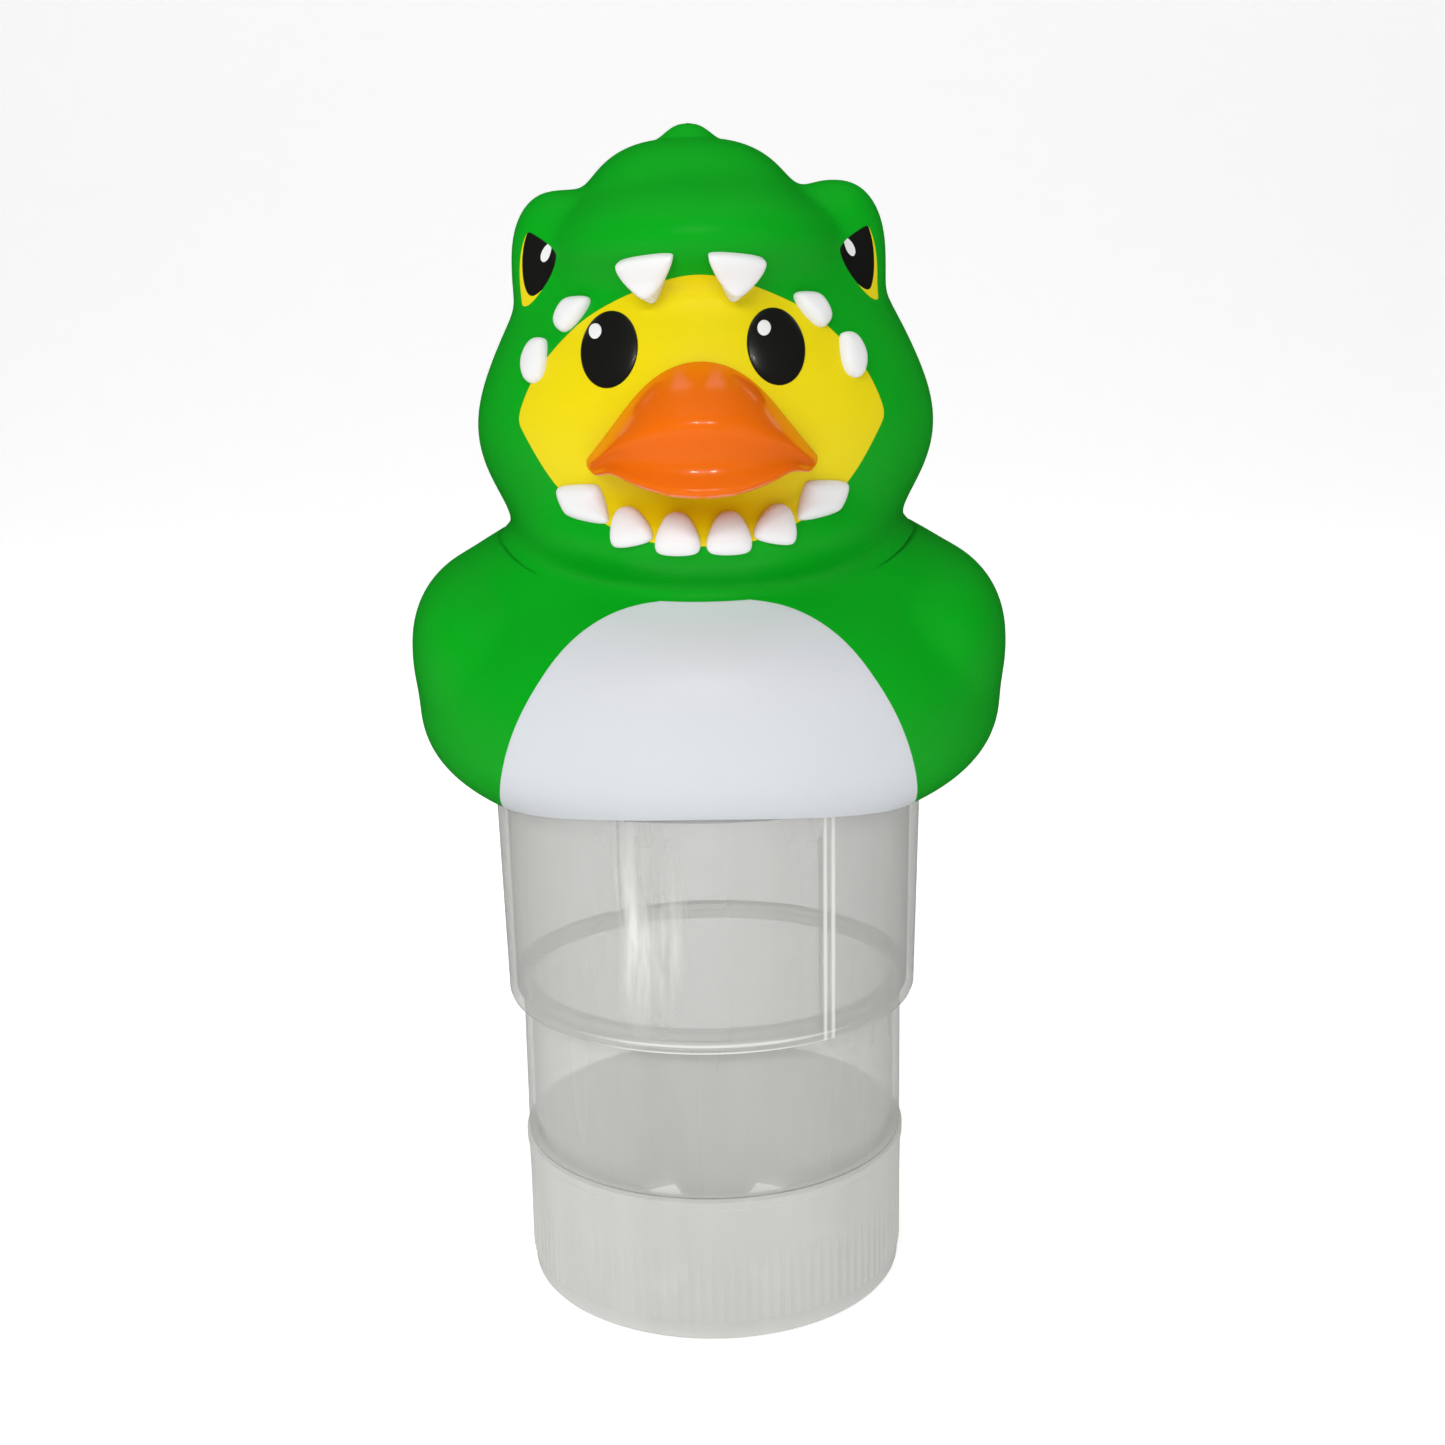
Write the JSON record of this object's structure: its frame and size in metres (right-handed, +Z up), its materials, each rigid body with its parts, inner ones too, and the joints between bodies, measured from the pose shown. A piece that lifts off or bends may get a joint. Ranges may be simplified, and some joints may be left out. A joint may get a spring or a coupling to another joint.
{
  "type": "floating chlorine dispenser",
  "caption": "Floating pool chlorine dispenser: hollow duck float in a dinosaur hood on a telescoping clear tablet canister with a turning slotted end cap.",
  "frame": {"origin": "centre of the end cap's flat underside, on the canister's axis", "axes": "+Z up the canister towards the float's crown, the duck looks along -Y, +X towards the right of someone facing it"},
  "size_m": [0.1302, 0.1545, 0.2576],
  "materials": {
    "cap_plastic": "frosted translucent polypropylene with fine vertical flutes",
    "disc_plastic": "frosted translucent polypropylene",
    "tube_plastic": "clear, slightly milky polypropylene, smooth",
    "sleeve_plastic": "clear, slightly milky polypropylene, smooth",
    "socket_plastic": "natural white polypropylene",
    "plug_rubber": "soft black rubber",
    "green_vinyl": "satin painted soft vinyl",
    "white_vinyl": "satin painted soft vinyl",
    "yellow_vinyl": "satin painted soft vinyl",
    "orange_gloss": "glossy painted soft vinyl",
    "black_paint": "semi-gloss black paint",
    "white_paint": "white paint dots",
    "tooth_white": "satin white painted vinyl"
  },
  "bodies": {
    "float": {"sleeve": "sleeve_plastic", "socket_cup": "socket_plastic", "vent_plug": "plug_rubber", "body_shell": "green_vinyl", "belly_panel": "white_vinyl", "hood_shell": "green_vinyl", "duck_face": "yellow_vinyl", "beak": "orange_gloss", "duck_eye_left": "black_paint", "duck_eye_right": "black_paint", "duck_eye_glints": "white_paint", "hood_eye_left": "black_paint", "hood_eye_right": "black_paint", "hood_eye_rims": "yellow_vinyl", "hood_eye_glints": "white_paint", "fang_left": "tooth_white", "fang_right": "tooth_white", "upper_teeth": "tooth_white", "lower_teeth": "tooth_white", "back_spikes": "green_vinyl"},
    "tube": {"slide_tube": "tube_plastic"},
    "disc": {"flow_disc": "disc_plastic"},
    "cap": {"end_cap": "cap_plastic"}
  },
  "joints": [
    {"name": "telescope", "type": "slide", "parent": "float", "child": "tube", "axis": [0, 0, 1], "range_m": [0, 0.03]},
    {"name": "cap_pull", "type": "slide", "parent": "tube", "child": "disc", "axis": [0, 0, -1], "range_m": [0, 0.04]},
    {"name": "cap_turn", "type": "hinge", "parent": "disc", "child": "cap", "pos_m": [0, 0, 0], "axis": [0, 0, 1], "range_deg": [0, 30]}
  ]
}
